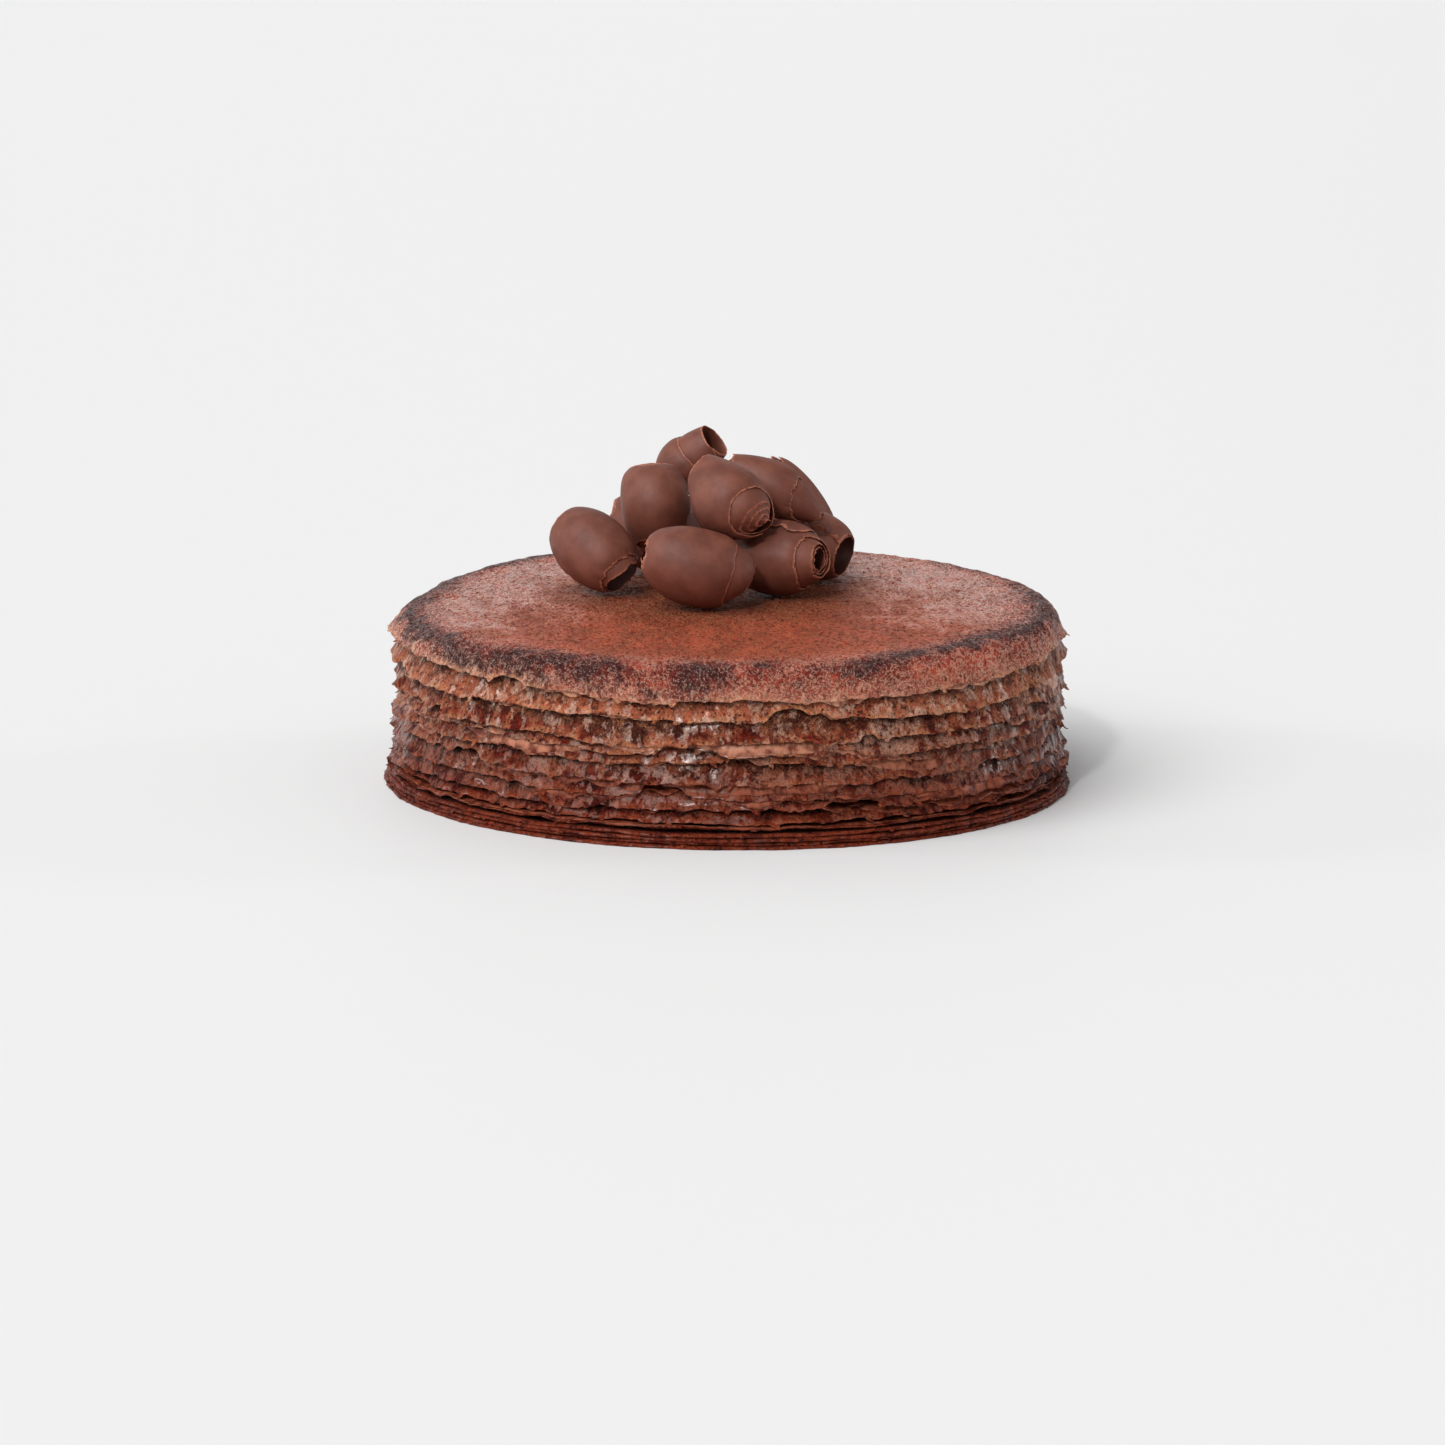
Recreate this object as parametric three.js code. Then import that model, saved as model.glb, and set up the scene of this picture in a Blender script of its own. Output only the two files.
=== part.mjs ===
// A chocolate crepe cake. Fourteen thin crepes lie one on another: the bottom four are pressed
// flat, and the ten above them have cream between them and hang down the side like cloth, each
// over the one below. Eleven rolled chocolate curls are heaped in the middle of the top.
// Millimetres, +Z up. The origin is on the surface the cake stands on, under its centre.

import * as THREE from 'three';

// ---- Driving dimensions ----------------------------------------------------------------------

const TOP_HEIGHT = 59; // top face of the uppermost crepe
const CLEARANCE = 0.3; // gap between pieces that rest on each other
const SIDES = 48; // facets round a crepe
const CREAM_SIDES = 36; // facets round a layer of cream

// The pressed crepes, from the bottom up.
const PRESSED_RADII = [114.0, 113.3, 113.5, 112.9];
const PRESSED_THICKNESS = 0.85;
const PRESSED_PITCH = 1.2;
const PRESSED_WAVE = 0.5; // how uneven their rims are

// The draped crepes, from the top down: how far the edge hangs and the radius it reaches.
const DRAPED = [
  { drop: 9.8, hemRadius: 109.5 },
  { drop: 11.2, hemRadius: 109.7 },
  { drop: 13.1, hemRadius: 109.8 },
  { drop: 11.1, hemRadius: 109.3 },
  { drop: 8.8, hemRadius: 109.0 },
  { drop: 9.1, hemRadius: 109.3 },
  { drop: 8.4, hemRadius: 109.4 },
  { drop: 6.6, hemRadius: 110.3 },
  { drop: 4.4, hemRadius: 110.6 },
  { drop: 0.8, hemRadius: 111.7 },
];
const DRAPED_THICKNESS = 0.9;
const LOWEST_DRAPED = 6.8; // top face of the lowest draped crepe
const DRAPED_PITCH = (TOP_HEIGHT - LOWEST_DRAPED) / (DRAPED.length - 1);
const HEM_WAVE = 1.3; // how far a hem dips and rises round the cake
const HEM_TURNS = [3, 7, 11]; // the waves of a hem, counted round the cake
const SIDE_WAVE = 0.8; // how far the whole side bulges and hollows
const SIDE_TURNS = [2, 3, 5];
const SIDE_TWIST = 0.02; // how fast those bulges shift from layer to layer
const SIDEWAYS = 0.8; // how far the middle of the stack has slid to the right
const OVAL = 2.7; // how much wider the whole cake is along OVAL_HEADING, and narrower across it
const OVAL_HEADING = THREE.MathUtils.degToRad(128);
const TILT = 0.034; // rise of the cake's top towards its back, per millimetre

// A draped crepe bends over an elliptical shoulder into a straight, slightly flared skirt. On the
// left of the cake the upper shoulders have slumped, and on the right they are steeper.
const SHOULDER_RUN = 9;
const SHOULDER_DROP = 5.4;
const SKIRT_LEAN = THREE.MathUtils.degToRad(20);
const SLUMP = 0.6;
const SLUMP_POWER = 5; // how closely the slump keeps to the very left and right

// The curls. Each is a sheet of chocolate rolled up into a barrel that narrows to its ends.
const SHEET = 0.8; // thickness of the chocolate
const ROLL_PITCH = 1.2; // from one wrap to the next
const STEPS_PER_TURN = 12;
const ROWS = [-1, -0.62, -0.15, 0.3, 0.68, 1]; // where a wrap is divided along the barrel

// at: the centre, its height counted from the cake's top. heading and pitch: where the open end
// points. taper: how much narrower the far and the open end are. belly: how far out towards its ends
// the barrel keeps its width. bend: how far both ends bend up. turns: wraps of the sheet. seam: the
// side its free edge lies on, 0 at the top. reach: where the outer wrap stops, 1 at the open end.
const CURLS = {
  curl_left: {
    at: [-43, 10, 14.5], heading: -40, pitch: -30,
    half: 14.6, radius: 11.9, taper: [0.38, 0.32], belly: 2.3, bend: 0, turns: 1.5, seam: 150, reach: 0.95,
  },
  curl_left_back: {
    at: [-25, 44, 14], heading: 170, pitch: 18,
    half: 16.5, radius: 12.8, taper: [0.5, 0.5], belly: 2.3, bend: 0, turns: 1.5, seam: 60, reach: 0.9,
  },
  curl_upright: {
    at: [-23, 22.1, 28], heading: 107, pitch: 70,
    half: 13, radius: 11.7, taper: [0.4, 0.3], belly: 2.3, bend: -3.5, turns: 1.5, seam: 60, reach: 0.96,
  },
  curl_summit: {
    at: [-12.6, 44.2, 37.8], heading: -17, pitch: 39,
    half: 12, radius: 10.2, taper: [0.6, 0.17], belly: 2.3, bend: 0, turns: 2.25, seam: 200, reach: 0.2,
  },
  curl_front: {
    at: [-9.1, -18, 14.1], heading: 2, pitch: -14,
    half: 18.1, radius: 12.9, taper: [0.5, 0.42], belly: 2.3, bend: 0.9, turns: 1.75, seam: 190, reach: 0.6,
  },
  curl_centre: {
    at: [1.6, -3.8, 32.9], heading: -36, pitch: -29,
    half: 14.9, radius: 12.3, taper: [0.47, 0.47], belly: 1.7, bend: 2.7, turns: 2.5, seam: 200, reach: 0.4,
  },
  curl_right_upper: {
    at: [16.9, 15, 34], heading: -8, pitch: -28,
    half: 17.7, radius: 9.2, taper: [0.44, 0.62], belly: 1.7, bend: -1.2, turns: 2.25, seam: 220, reach: 0.3,
  },
  curl_leaning: {
    at: [23.6, 57.2, 19.7], heading: 173, pitch: 54,
    half: 20.2, radius: 10.7, taper: [0.53, 0.46], belly: 2.3, bend: 0, turns: 1.5, seam: 120, reach: 0.9,
  },
  curl_right_front: {
    at: [17, 2.9, 13.1], heading: -30, pitch: 2,
    half: 16.8, radius: 12.7, taper: [0.51, 0.43], belly: 2.3, bend: 0, turns: 2.5, seam: 20, reach: 0.62,
  },
  curl_right_back: {
    at: [26.9, 32, 12.8], heading: -28, pitch: -13,
    half: 14.5, radius: 11.9, taper: [0.4, 0.3], belly: 2.3, bend: 0, turns: 1.25, seam: 40, reach: 1,
  },
  curl_back: {
    at: [-4.3, 65.5, 12.2], heading: 5, pitch: 0,
    half: 16.5, radius: 11.8, taper: [0.5, 0.5], belly: 2.3, bend: 0, turns: 1.5, seam: 300, reach: 0.6,
  },
};
const SHORT_WRAP = [1.25, 0.95]; // turns in from the free edge over which the outer wrap reaches its length

// ---- Materials -------------------------------------------------------------------------------

const topFinish = new THREE.MeshStandardMaterial({ color: 0x7c3527, roughness: 0.45, metalness: 0 });
const crepeFinish = new THREE.MeshStandardMaterial({ color: 0x7a4738, roughness: 0.6, metalness: 0 });
const pressedFinish = new THREE.MeshStandardMaterial({ color: 0x4a2018, roughness: 0.6, metalness: 0 });
const creamFinish = new THREE.MeshStandardMaterial({ color: 0x8f6a63, roughness: 0.4, metalness: 0 });
const chocolateFinish = new THREE.MeshStandardMaterial({ color: 0x4c2d27, roughness: 0.55, metalness: 0 });

// ---- Shared forms ----------------------------------------------------------------------------

const cake = new THREE.Group();

function addPiece(name, geometry, finish, x, y, z) {
  const piece = new THREE.Mesh(geometry, finish.clone());
  piece.name = name;
  piece.position.set(x, y, z);
  cake.add(piece);
}

// A slow uneven wave between -1 and 1: three sines that run a whole number of times round the cake.
function wave(angle, seed, turns) {
  const [first, second, third] = turns;
  const sum = Math.sin(first * angle + 1.7 * seed)
    + 0.6 * Math.sin(second * angle + 2.9 * seed + 1)
    + 0.4 * Math.sin(third * angle + 4.3 * seed + 2);
  return sum / 2;
}

// The cake is slightly oval, and every layer follows that.
const oval = (angle) => OVAL * Math.cos(2 * (angle - OVAL_HEADING));

function solid(corners, faces) {
  const geometry = new THREE.BufferGeometry();
  geometry.setAttribute('position', new THREE.Float32BufferAttribute(corners.flat(), 3));
  geometry.setIndex(faces.flat());
  geometry.computeVertexNormals();
  return geometry;
}

// A closed body round the Z axis. Its rings run from the top face outwards, over the rim and back
// in underneath; each ring is a function that gives the radius and height at an angle. At angle 0
// the first and the last ring are as high as the middles of the faces that they close.
function roundSolid(rings, sides) {
  const corners = [];
  for (const ring of rings) {
    for (let side = 0; side < sides; side++) {
      const angle = (2 * Math.PI * side) / sides;
      const { radius, height } = ring(angle);
      corners.push([radius * Math.cos(angle), radius * Math.sin(angle), height]);
    }
  }
  const lastRing = (rings.length - 1) * sides;
  const topCentre = corners.push([0, 0, corners[0][2]]) - 1;
  const underCentre = corners.push([0, 0, corners[lastRing][2]]) - 1;
  const faces = [];
  for (let side = 0; side < sides; side++) {
    const next = (side + 1) % sides;
    faces.push([topCentre, side, next]);
    for (let ring = 0; ring + 1 < rings.length; ring++) {
      const inner = ring * sides;
      const outer = inner + sides;
      faces.push([inner + side, outer + side, outer + next]);
      faces.push([inner + side, outer + next, inner + next]);
    }
    faces.push([lastRing + side, underCentre, lastRing + next]);
  }
  return solid(corners, faces);
}

// ---- Pressed crepes --------------------------------------------------------------------------

// Even turns alone keep the widest crepe, and so the cake, centred on the origin.
function pressedCrepe(radius, layer) {
  const rim = (angle) => radius + oval(angle) + PRESSED_WAVE * wave(angle, layer, [2, 6, 10]);
  return roundSolid([
    (angle) => ({ radius: rim(angle), height: PRESSED_THICKNESS }),
    (angle) => ({ radius: rim(angle), height: 0 }),
  ], SIDES);
}

// ---- Draped crepes ---------------------------------------------------------------------------

// The bend ends where the ellipse's slope is the skirt's slope.
const bendEnd = Math.atan(SHOULDER_RUN / (SHOULDER_DROP * Math.tan(SKIRT_LEAN)));
const bendDepth = SHOULDER_DROP * (1 - Math.cos(bendEnd));
const bendRun = SHOULDER_RUN * Math.sin(bendEnd);

// How far out from the flat middle a crepe has run at a depth below it, and which way it faces.
function drapeAt(depth) {
  if (depth >= bendDepth) {
    const run = bendRun + (depth - bendDepth) * Math.tan(SKIRT_LEAN);
    return { run, out: Math.cos(SKIRT_LEAN), up: Math.sin(SKIRT_LEAN) };
  }
  const bend = Math.acos(1 - depth / SHOULDER_DROP);
  const out = SHOULDER_DROP * Math.sin(bend);
  const up = SHOULDER_RUN * Math.cos(bend);
  const length = Math.hypot(out, up);
  return { run: SHOULDER_RUN * Math.sin(bend), out: out / length, up: up / length };
}

// The lowest draped crepe is level and even. The tilt and the slump grow with every crepe above it.
const share = (layer) => 1 - layer / (DRAPED.length - 1);
const tilt = (layer) => TILT * share(layer);
const slump = (layer, angle) => Math.exp(-SLUMP * share(layer) * Math.cos(angle) ** SLUMP_POWER);

// How far the flat middle of a crepe reaches. A slumped shoulder takes its room from it.
function flatRadius(layer, angle) {
  const { drop, hemRadius } = DRAPED[layer];
  return hemRadius + oval(angle) - drapeAt(drop).run * slump(layer, angle);
}

// Heights are counted from the middle of the crepe's own top face.
function drapedCrepe(layer) {
  const { drop } = DRAPED[layer];
  const edge = (angle) => flatRadius(layer, angle);
  const slide = SIDEWAYS * Math.sin((Math.PI * (layer + 1)) / (DRAPED.length + 1));
  const bulge = (angle) =>
    slide * Math.cos(angle) + SIDE_WAVE * wave(angle, 1 + SIDE_TWIST * layer, SIDE_TURNS);
  const tilted = (angle, radius, height) => {
    return { radius, height: height + tilt(layer) * radius * Math.sin(angle) };
  };
  const hemDepth = (angle) => drop * (1 + (HEM_WAVE / 12) * wave(angle, 2.3 * layer, HEM_TURNS));
  const shoulderDepth = Math.min(2.5, 0.3 * drop);

  const point = (depth, inwards) => (angle) => {
    const { run, out, up } = drapeAt(depth(angle));
    const spread = run * slump(layer, angle) - out * inwards;
    return tilted(angle, edge(angle) + bulge(angle) + spread, -depth(angle) - up * inwards);
  };
  const shoulder = () => shoulderDepth;
  return roundSolid([
    (angle) => tilted(angle, edge(angle), 0),
    point(shoulder, 0),
    point(hemDepth, 0),
    point(hemDepth, DRAPED_THICKNESS),
    point(shoulder, DRAPED_THICKNESS),
    (angle) => tilted(angle, edge(angle) - 0.5 * DRAPED_THICKNESS, -DRAPED_THICKNESS),
  ], SIDES);
}

// Cream fills the flat middle between two draped crepes.
function creamLayer(upper) {
  const thickness = DRAPED_PITCH - DRAPED_THICKNESS - 2 * CLEARANCE;
  const face = (layer, height) => (angle) => {
    const radius = Math.min(flatRadius(upper, angle), flatRadius(upper + 1, angle)) - DRAPED_THICKNESS;
    return { radius, height: height + tilt(layer) * radius * Math.sin(angle) };
  };
  return roundSolid([face(upper, thickness), face(upper + 1, 0)], CREAM_SIDES);
}

// ---- Curls -----------------------------------------------------------------------------------

// The sheet is followed from its inner edge, deep in the roll, to its free outer edge.
function curl({ heading, pitch, half, radius, taper, belly, bend, turns, seam, reach }) {
  const yaw = THREE.MathUtils.degToRad(heading);
  const rise = THREE.MathUtils.degToRad(pitch);
  const axis = new THREE.Vector3(
    Math.cos(rise) * Math.cos(yaw),
    Math.cos(rise) * Math.sin(yaw),
    Math.sin(rise),
  );
  const up = new THREE.Vector3(0, 0, 1).addScaledVector(axis, -axis.z).normalize();
  const side = new THREE.Vector3().crossVectors(axis, up);
  const steps = Math.round(turns * STEPS_PER_TURN);
  const perStep = ROWS.length * 2;

  const corners = [];
  for (let step = 0; step <= steps; step++) {
    const inwards = turns - step / STEPS_PER_TURN;
    const inset = ROLL_PITCH * (inwards < 1 ? inwards ** 1.5 : inwards);
    const turned = THREE.MathUtils.degToRad(seam) - 2 * Math.PI * inwards;
    const outwards = up.clone().multiplyScalar(Math.cos(turned)).addScaledVector(side, Math.sin(turned));
    const shortness = 1 - THREE.MathUtils.smoothstep(inwards, SHORT_WRAP[1], SHORT_WRAP[0]);
    const stop = 1 - (1 - reach) * shortness;
    for (const row of ROWS) {
      const along = -1 + ((row + 1) / 2) * (stop + 1);
      const narrowing = taper[along > 0 ? 1 : 0] * Math.abs(along) ** belly;
      const outer = radius * (1 - narrowing) - inset;
      for (const distance of [outer, outer - SHEET]) {
        const corner = axis.clone().multiplyScalar(along * half).addScaledVector(outwards, distance);
        corners.push(corner.addScaledVector(up, bend * along ** 2).toArray());
      }
    }
  }

  const faces = [];
  const quad = (a, b, c, d) => faces.push([a, b, c], [a, c, d]);
  const at = (step, row, face) => step * perStep + row * 2 + face; // face 0 outside, 1 inside
  const lastRow = ROWS.length - 1;
  for (let step = 0; step < steps; step++) {
    for (let row = 0; row < lastRow; row++) {
      quad(at(step, row, 0), at(step + 1, row, 0), at(step + 1, row + 1, 0), at(step, row + 1, 0));
      quad(at(step, row, 1), at(step, row + 1, 1), at(step + 1, row + 1, 1), at(step + 1, row, 1));
    }
    quad(at(step, 0, 0), at(step, 0, 1), at(step + 1, 0, 1), at(step + 1, 0, 0));
    quad(at(step, lastRow, 0), at(step + 1, lastRow, 0), at(step + 1, lastRow, 1), at(step, lastRow, 1));
  }
  for (let row = 0; row < lastRow; row++) {
    quad(at(0, row, 0), at(0, row + 1, 0), at(0, row + 1, 1), at(0, row, 1));
    quad(at(steps, row, 0), at(steps, row, 1), at(steps, row + 1, 1), at(steps, row + 1, 0));
  }
  return solid(corners, faces);
}

// ---- The cake --------------------------------------------------------------------------------

const numbered = (name, number) => `${name}_${String(number).padStart(2, '0')}`;

DRAPED.forEach((_, layer) => {
  const top = TOP_HEIGHT - DRAPED_PITCH * layer;
  addPiece(numbered('crepe', layer + 1), drapedCrepe(layer), layer ? crepeFinish : topFinish, 0, 0, top);
  if (layer + 1 < DRAPED.length) {
    const under = top - DRAPED_PITCH + CLEARANCE;
    addPiece(numbered('cream', layer + 1), creamLayer(layer), creamFinish, 0, 0, under);
  }
});

PRESSED_RADII.forEach((radius, layer) => {
  const name = numbered('crepe', DRAPED.length + PRESSED_RADII.length - layer);
  addPiece(name, pressedCrepe(radius, layer), pressedFinish, 0, 0, layer * PRESSED_PITCH);
});

for (const [name, shape] of Object.entries(CURLS)) {
  const [x, y, height] = shape.at;
  addPiece(name, curl(shape), chocolateFinish, x, y, TOP_HEIGHT + TILT * y + height);
}

export default cake;
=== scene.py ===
# %% [markdown]
# # A chocolate crepe cake
# A crepe cake is a stack of paper-thin pancakes with cream between them. Here the solid layers and
# the rolled chocolate curls already exist as a plain model, and this lesson dresses them: every
# crepe becomes a ragged, porous skin, the cream smears out between the hems, and the curls get the
# broken edges of shaved chocolate. The first cell loads the plain model.

# %% Load the plain model
import math
from types import SimpleNamespace
import bpy
import numpy as np
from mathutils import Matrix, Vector


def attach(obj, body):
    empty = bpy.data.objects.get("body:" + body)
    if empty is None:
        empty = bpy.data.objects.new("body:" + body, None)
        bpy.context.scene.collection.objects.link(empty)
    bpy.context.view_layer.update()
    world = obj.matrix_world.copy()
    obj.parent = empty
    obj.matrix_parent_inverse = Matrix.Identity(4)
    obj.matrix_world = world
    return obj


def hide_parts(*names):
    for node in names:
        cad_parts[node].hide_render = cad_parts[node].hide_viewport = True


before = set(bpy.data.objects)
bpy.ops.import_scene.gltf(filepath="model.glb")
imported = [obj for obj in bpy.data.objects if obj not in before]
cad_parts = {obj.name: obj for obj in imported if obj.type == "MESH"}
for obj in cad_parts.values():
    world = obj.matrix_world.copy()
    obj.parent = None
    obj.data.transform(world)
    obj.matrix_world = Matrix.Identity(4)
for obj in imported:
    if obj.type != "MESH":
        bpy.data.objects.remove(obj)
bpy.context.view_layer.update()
MM = 0.001


# %% [markdown]
# ## The camera
# Food is usually shown a little from above through a long lens, which keeps round things round. A
# Track To constraint could aim the camera, but a fixed place and pitch are easier to repeat.

# %% Camera
SENSOR_WIDTH = 36
LENS = 104.6
CAMERA_AT = (-0.001, -1.360, 0.279)
LOOKING_DOWN = 10.87

camera_data = bpy.data.cameras.new("camera")
camera_data.sensor_width = SENSOR_WIDTH
camera_data.lens = LENS
camera = bpy.data.objects.new("camera", camera_data)
camera.location = CAMERA_AT
camera.rotation_euler = (math.radians(90 - LOOKING_DOWN), 0, 0)
bpy.context.scene.collection.objects.link(camera)
bpy.context.scene.camera = camera
print("the lens takes in", round(math.degrees(camera_data.angle), 1), "degrees")

# %% [markdown]
# ## Shader maths as plain expressions
# Finishes are made of many small sums, such as `1 - mask * 0.4`. Wiring each one by hand hides the
# idea, so a small class wraps the output of a node and turns Python's operators into Math nodes. Its
# method `between` is used most of all, because it cuts a mask with soft edges out of any noise.

# %% Signals
class Signal:
    """The output of a node. Arithmetic on it adds Math nodes to its tree."""

    def __init__(self, bench, socket):
        self.bench = bench
        self.socket = socket

    def calculate(self, operation, *values):
        return self.bench.node("ShaderNodeMath", {"operation": operation}, dict(enumerate(values)))

    def __add__(self, other):
        return self.calculate("ADD", self, other)

    def __sub__(self, other):
        return self.calculate("SUBTRACT", self, other)

    def __rsub__(self, other):
        return self.calculate("SUBTRACT", other, self)

    def __mul__(self, other):
        return self.calculate("MULTIPLY", self, other)

    def __abs__(self):
        return self.calculate("ABSOLUTE", self)

    __radd__ = __add__
    __rmul__ = __mul__

    def between(self, low, high):
        """0 at low, 1 at high, and a smooth step from one to the other. low may be the larger."""
        settings = {"interpolation_type": "SMOOTHSTEP"}
        sockets = {"Value": self, "From Min": low, "From Max": high}
        return self.bench.node("ShaderNodeMapRange", settings, sockets)


print("signals add Math nodes for + - * and abs, also where a number comes first")

# %% [markdown]
# A material is put together on a `Bench`. Every node comes from its one method `node`, and the methods
# after it are short names for the few nodes that this cake needs. Noise could follow a UV map, but it
# reads the place in space in millimetres, so that its grain is as large on every piece.

# %% The bench
class Bench:
    """Makes one material and holds its nodes."""

    def __init__(self, name):
        self.material = bpy.data.materials.new(name)
        self.material.use_nodes = True
        self.tree = self.material.node_tree
        self.tree.nodes.clear()

    def node(self, kind, settings=None, sockets=None, output=None):
        """Add a node. A socket goes by its name or its number, and takes a signal or a value."""
        made = self.tree.nodes.new(kind)
        for key, value in (settings or {}).items():
            setattr(made, key, value)
        live = [socket for socket in made.inputs if socket.enabled]
        for key, value in (sockets or {}).items():
            target = live[key] if isinstance(key, int) else next(s for s in live if s.name == key)
            if isinstance(value, Signal):
                self.tree.links.new(value.socket, target)
            else:
                target.default_value = value
        shown = [socket for socket in made.outputs if socket.enabled and output in (None, socket.name)]
        return Signal(self, shown[0]) if shown else None

    def place(self):
        """Where a point lies, in millimetres."""
        spot = self.node("ShaderNodeTexCoord", output="Object")
        return self.node("ShaderNodeVectorMath", {"operation": "SCALE"}, {0: spot, "Scale": 1 / MM})

    def stretched(self, vector, scale):
        """Space in which noise comes out longer along the axes whose scale is under 1."""
        return self.node("ShaderNodeVectorMath", {"operation": "MULTIPLY"}, {0: vector, 1: scale})

    def part(self, vector, axis):
        return self.node("ShaderNodeSeparateXYZ", None, {0: vector}, output=axis)

    def noise(self, vector, size, detail=3, roughness=0.55, distortion=0.0):
        """Cloudy noise from 0 to 1, with clouds about size millimetres across."""
        sockets = {"Vector": vector, "Scale": 1 / size, "Detail": detail,
                   "Roughness": roughness, "Distortion": distortion}
        return self.node("ShaderNodeTexNoise", {"normalize": True}, sockets)

    def cells(self, vector, size):
        """Distance to the nearest of many scattered points, which lie about size millimetres apart."""
        return self.node("ShaderNodeTexVoronoi", {"feature": "F1"}, {"Vector": vector, "Scale": 1 / size})

    def veins(self, vector, size, width, detail):
        """1 along thin lines that wander through space, and 0 between them."""
        return abs(self.noise(vector, size, detail, roughness=0.7) - 0.5).between(width, 0.0)

    def attribute(self, name):
        """A value that the mesh holds for each of its points."""
        return self.node("ShaderNodeAttribute", {"attribute_name": name}, output="Fac")

    def mix(self, factor, first, second, blend="MIX"):
        sockets = {"Factor": factor, "A": first, "B": second}
        return self.node("ShaderNodeMix", {"data_type": "RGBA", "blend_type": blend}, sockets)

    def bump(self, height, distance):
        return self.node("ShaderNodeBump", None, {"Height": height, "Distance": distance * MM})

    def finish(self, sockets):
        """The material, with these sockets on its shader."""
        shader = self.node("ShaderNodeBsdfPrincipled", None, sockets)
        self.node("ShaderNodeOutputMaterial", None, {"Surface": shader})
        return self.material


def hue(red, green, blue):
    """A colour from its sRGB bytes, as shader sockets want it."""
    linear = [((c / 255 + 0.055) / 1.055) ** 2.4 for c in (red, green, blue)]
    return (*linear, 1)


print("mid grey is", round(hue(128, 128, 128)[0], 3), "to a shader")

# %% [markdown]
# ## The room
# The room is a matt, pale floor that runs to the horizon, a pale sky, and some suns. A sun has no
# place, so it lights the cake and the whole floor alike, where an area light would leave a pool. The
# wider its disc, the softer it works: a broad one in front on the left and a weaker one behind stand
# for softboxes. The narrow ones, in front and low at both sides, draw small glints on wet spots.

# %% Floor and sky
# how far the floor reaches each way, in metres
FLOOR_REACH = 40
SKY_STRENGTH = 0.3

floor_corners = [(x * FLOOR_REACH, y * FLOOR_REACH, 0) for x, y in ((-1, -1), (1, -1), (1, 1), (-1, 1))]
floor_mesh = bpy.data.meshes.new("floor")
floor_mesh.from_pydata(floor_corners, [], [(0, 1, 2, 3)])
floor_mesh.materials.append(Bench("pale_floor").finish(
    {"Base Color": hue(241, 241, 241), "Roughness": 0.6, "Specular IOR Level": 0.2}))
floor = bpy.data.objects.new("floor", floor_mesh)
bpy.context.scene.collection.objects.link(floor)

world = bpy.data.worlds.new("sky")
world.use_nodes = True
sky = world.node_tree.nodes["Background"]
sky.inputs["Color"].default_value = (1, 1, 1, 1)
sky.inputs["Strength"].default_value = SKY_STRENGTH
bpy.context.scene.world = world
bpy.context.scene.view_settings.view_transform = "Standard"
print("the floor reaches", FLOOR_REACH, "m each way")

# %% Lights
# the direction each one shines from, its strength, and the width of its disc in degrees
LIGHTS = {
    "front_light": ((-0.56, -0.5, 0.84), 1.98, 55),
    "small_light": ((-0.3, -0.85, 0.6), 0.75, 4),
    "left_light": ((-0.88, 0.12, 0.28), 0.34, 9),
    "right_light": ((0.86, 0.25, 0.28), 0.24, 9),
    "back_light": ((-0.25, 0.85, 0.42), 0.4, 60),
}


def soft_light(name, towards, energy, width):
    data = bpy.data.lights.new(name, "SUN")
    data.energy = energy
    data.angle = math.radians(width)
    light = bpy.data.objects.new(name, data)
    light.rotation_euler = Vector(towards).to_track_quat("Z", "Y").to_euler()
    bpy.context.scene.collection.objects.link(light)


for name, setting in LIGHTS.items():
    soft_light(name, *setting)
print("lights:", ", ".join(LIGHTS))

# %% [markdown]
# ## Helpers for irregular shapes
# Food is uneven at every size. A Displace modifier could roughen a finished mesh, but then a hem
# wouldn't know how the next one hangs. So the unevenness is worked out in numpy: `wave` is the plain
# model's own slow sines, and `ripple` and `lumps` read seeded random lattices that repeat without a
# seam, along a loop and on a plane.

# %% Noise
LATTICE = 256


def smooth(value, low, high):
    """0 up to low, 1 from high on, and a smooth step between them."""
    step = np.clip((value - low) / (high - low), 0, 1)
    return step * step * (3 - 2 * step)


def wave(angle, seed, turns):
    """Three sines from -1 to 1 in all. turns says how often each goes up and down round the cake."""
    first, second, third = turns
    total = np.sin(first * angle + 1.7 * seed) + 0.6 * np.sin(second * angle + 2.9 * seed + 1)
    return (total + 0.4 * np.sin(third * angle + 4.3 * seed + 2)) / 2


def lattice_noise(lattice, x, y):
    """Smooth noise between the values of a lattice, which repeats both ways."""
    columns, rows = lattice.shape
    column, row = np.floor(x).astype(int), np.floor(y).astype(int)
    near, far = column % columns, (column + 1) % columns
    low, high = row % rows, (row + 1) % rows
    to_far, to_high = smooth(x - column, 0, 1), smooth(y - row, 0, 1)
    at_low = lattice[near, low] * (1 - to_far) + lattice[far, low] * to_far
    at_high = lattice[near, high] * (1 - to_far) + lattice[far, high] * to_far
    return at_low * (1 - to_high) + at_high * to_high


def ripple(turn, along, cells, seed):
    """Noise from -1 to 1. turn runs from 0 to 1 round a loop, and along from 0 to 1 across it."""
    turn, along = np.broadcast_arrays(turn, along)
    around, across = cells
    lattice = np.random.default_rng(seed).uniform(-1, 1, (around, across + 2))
    return lattice_noise(lattice, turn * around, np.clip(along, 0, 1) * across)


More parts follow.
